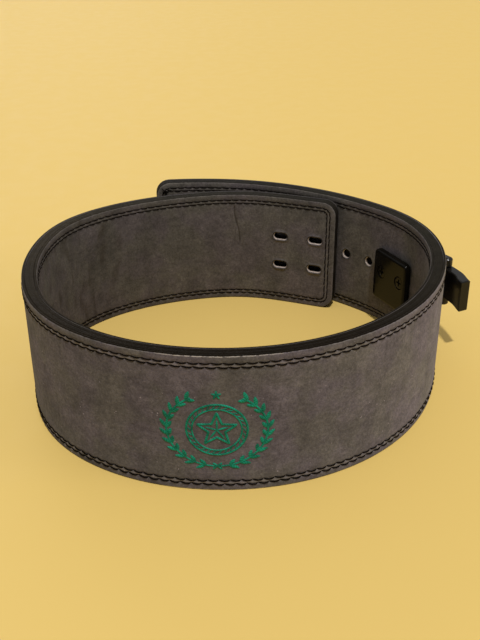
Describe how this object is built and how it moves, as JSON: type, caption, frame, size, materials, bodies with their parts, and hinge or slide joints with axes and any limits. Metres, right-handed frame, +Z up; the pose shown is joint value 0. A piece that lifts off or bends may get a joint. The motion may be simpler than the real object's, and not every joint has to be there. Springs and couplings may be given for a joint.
{
  "type": "lever weightlifting belt",
  "caption": "Stiff leather lifting belt, open and standing on its edge, with a steel lever buckle screwed to one end and slots for its hook in the other.",
  "frame": {"origin": "centre of the belt's footprint, on the floor that it stands on", "axes": "+Z up across the strap's width, +X to the viewer's right where the lever is, +Y away from the viewer towards the overlapped ends"},
  "size_m": [0.3418, 0.3272, 0.1],
  "materials": {
    "edge_leather": "satin black painted edge",
    "suede_leather": "matt brushed nap",
    "black_steel": "gloss black"
  },
  "bodies": {
    "belt": {"leather_core": "edge_leather", "outer_suede": "suede_leather", "inner_suede": "suede_leather", "back_plate": "black_steel", "screw_front": "black_steel", "screw_rear": "black_steel", "base_bracket": "black_steel", "lever_pin": "black_steel"},
    "lever": {"lever_handle": "black_steel", "hook_pin": "black_steel"},
    "hook": {"hook_yoke": "black_steel"}
  },
  "joints": [
    {"name": "lever_hinge", "type": "hinge", "parent": "belt", "child": "lever", "pos_m": [0.14876, 0.06494, 0.05], "axis": [0, 0, 1], "range_deg": [0, 150]},
    {"name": "hook_hinge", "type": "hinge", "parent": "lever", "child": "hook", "pos_m": [0.15831, 0.04513, 0.05], "axis": [0, 0, 1], "range_deg": [-150, 0]}
  ],
  "couplings": [
    {"joint": "hook_hinge", "follows": "lever_hinge", "ratio": -1}
  ]
}
